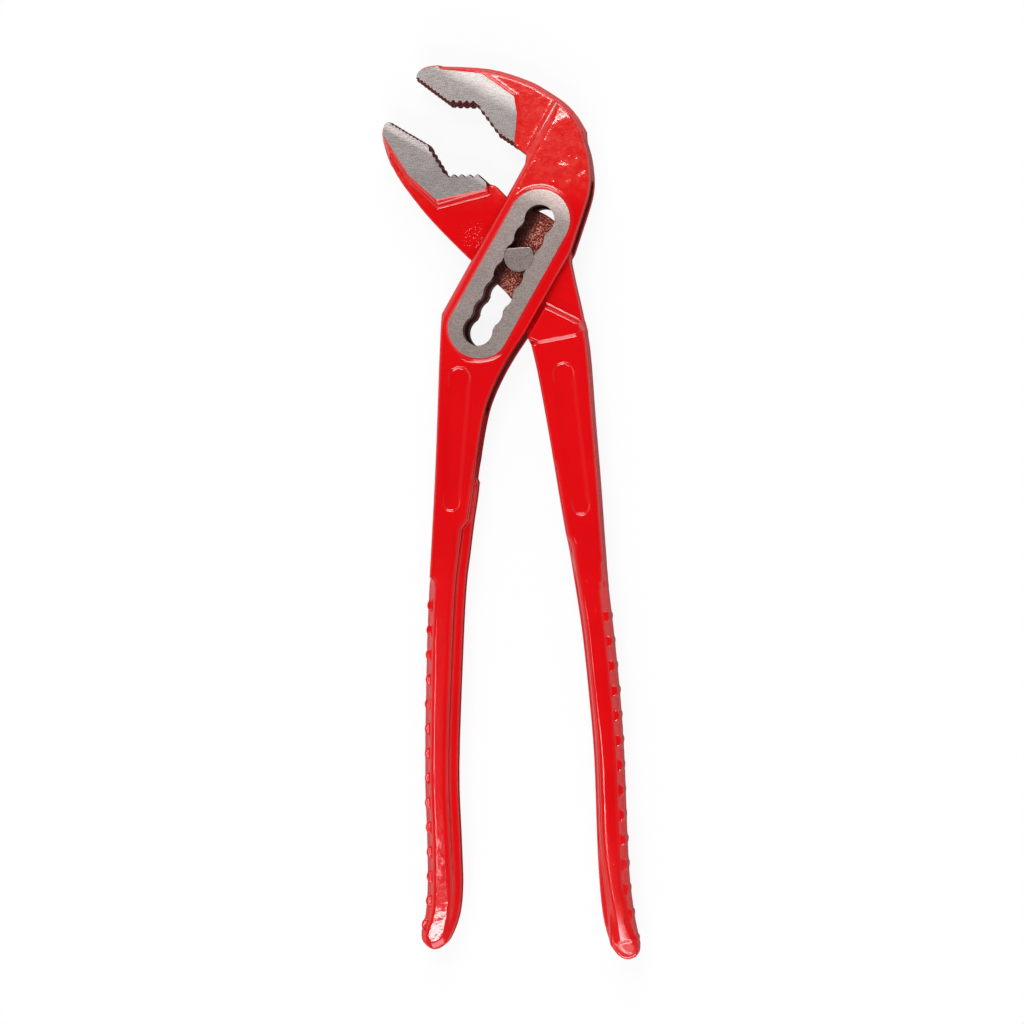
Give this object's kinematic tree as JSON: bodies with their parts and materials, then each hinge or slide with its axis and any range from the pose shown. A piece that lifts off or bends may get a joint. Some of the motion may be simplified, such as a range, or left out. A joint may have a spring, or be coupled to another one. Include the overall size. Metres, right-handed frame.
{
  "type": "water pump pliers",
  "caption": "Box-joint water pump pliers with a notched slot, D-headed pivot, toothed jaws and red enamelled forged handles that open and set to several widths.",
  "frame": {"origin": "pivot axis at rest, level with the rear ground face of the box", "axes": "+Y towards the jaws, +X towards the inner lever's handle side, +Z through the thickness to the front face"},
  "size_m": [0.072, 0.2493, 0.014],
  "materials": {
    "red_enamel": "glossy dipped enamel over forged steel, thin on steep faces",
    "ground_steel": "satin, with fine grinding lines"
  },
  "bodies": {
    "outer": {"outer_lever": "red_enamel"},
    "pivot": {"pivot_pin": "ground_steel"},
    "inner": {"inner_lever": "red_enamel", "front_pivot_head": "ground_steel", "rear_pivot_head": "ground_steel"}
  },
  "joints": [
    {"name": "notch_slide", "type": "slide", "parent": "outer", "child": "pivot", "axis": [0.4939, 0.8695, 0], "range_m": [-0.02344, 0.01172]},
    {"name": "handle_pivot", "type": "hinge", "parent": "pivot", "child": "inner", "pos_m": [0, 0, 0.007], "axis": [0, 0, 1], "range_deg": [-1, 60]}
  ]
}
